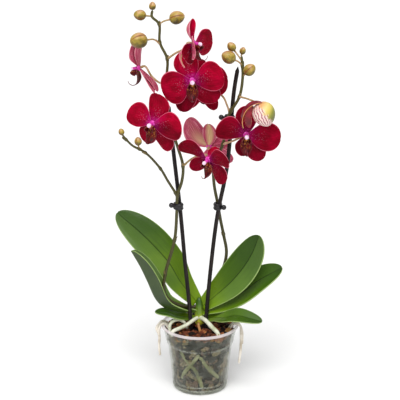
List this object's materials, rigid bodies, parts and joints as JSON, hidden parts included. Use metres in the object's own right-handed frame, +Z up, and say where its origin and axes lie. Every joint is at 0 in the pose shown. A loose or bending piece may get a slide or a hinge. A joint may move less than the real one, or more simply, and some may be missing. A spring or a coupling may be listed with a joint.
{
  "type": "potted orchid",
  "caption": "Moth orchid with tall arching spikes of crimson blooms and closed buds, strap leaves and air roots, in a clear round grower's pot of bark with stakes and clips.",
  "frame": {"origin": "middle of the flat underside of the pot", "axes": "+Z up the plant from the pot's base, which is the longest side; the flowers face -Y, +X is to the right seen from the front"},
  "size_m": [0.2578, 0.1453, 0.6069],
  "materials": {
    "pot": "clear polypropylene, slightly hazy",
    "bark": "rough fir bark chips",
    "crown": "smooth living stem, yellow-green",
    "root": "living root, pale grey-green skin",
    "air_root": "dry air root, papery cream skin",
    "wall_root": "damp living root, olive green",
    "stake": "coated flower stake, satin near-black",
    "clip": "moulded plastic, satin black",
    "leaf": "waxy leaf, satin green with a pale edge",
    "stem": "living flower stem, olive brown",
    "bud": "closed bud, satin yellow-green with a peach flush",
    "opening_bud": "opening bud, peach with burgundy veins",
    "petal": "soft petal, deep crimson with a magenta middle",
    "lip": "waxy lip, dark maroon with a pale pink column"
  },
  "bodies": {
    "root": {"pot": "pot", "bark": "bark", "crown": "crown", "root_left": "root", "root_arch": "root", "root_right": "root", "root_down": "root", "air_root_left": "air_root", "air_root_right": "air_root", "wall_root_left": "wall_root", "wall_root_right": "wall_root", "stake_left": "stake", "stake_right": "stake", "clip_left": "clip", "clip_right_low": "clip", "clip_right_high": "clip", "leaf_left_big": "leaf", "leaf_left_folded": "leaf", "leaf_left_low": "leaf", "leaf_right_big": "leaf", "leaf_right_long": "leaf", "leaf_right_low": "leaf", "spike_left": "stem", "spike_right": "stem", "bud_left_tip": "bud", "bud_left_far": "bud", "bud_left_near": "bud", "bud_left_big": "bud", "bud_branch_tip": "bud", "bud_branch_low": "bud", "bud_right_tip": "bud", "bud_right_high": "bud", "bud_right_near": "bud", "bud_right_low": "bud", "opening_bud": "opening_bud", "opening_bud_heart": "petal", "bloom_top_petals": "petal", "bloom_high_petals": "petal", "bloom_left_petals": "petal", "bloom_low_petals": "petal", "bloom_right_petals": "petal", "bloom_back_petals": "petal", "bloom_behind_petals": "petal", "bloom_side_petals": "petal", "bloom_top_lip": "lip", "bloom_high_lip": "lip", "bloom_left_lip": "lip", "bloom_low_lip": "lip", "bloom_right_lip": "lip", "bloom_back_lip": "lip", "bloom_behind_lip": "lip", "bloom_side_lip": "lip"}
  },
  "joints": []
}
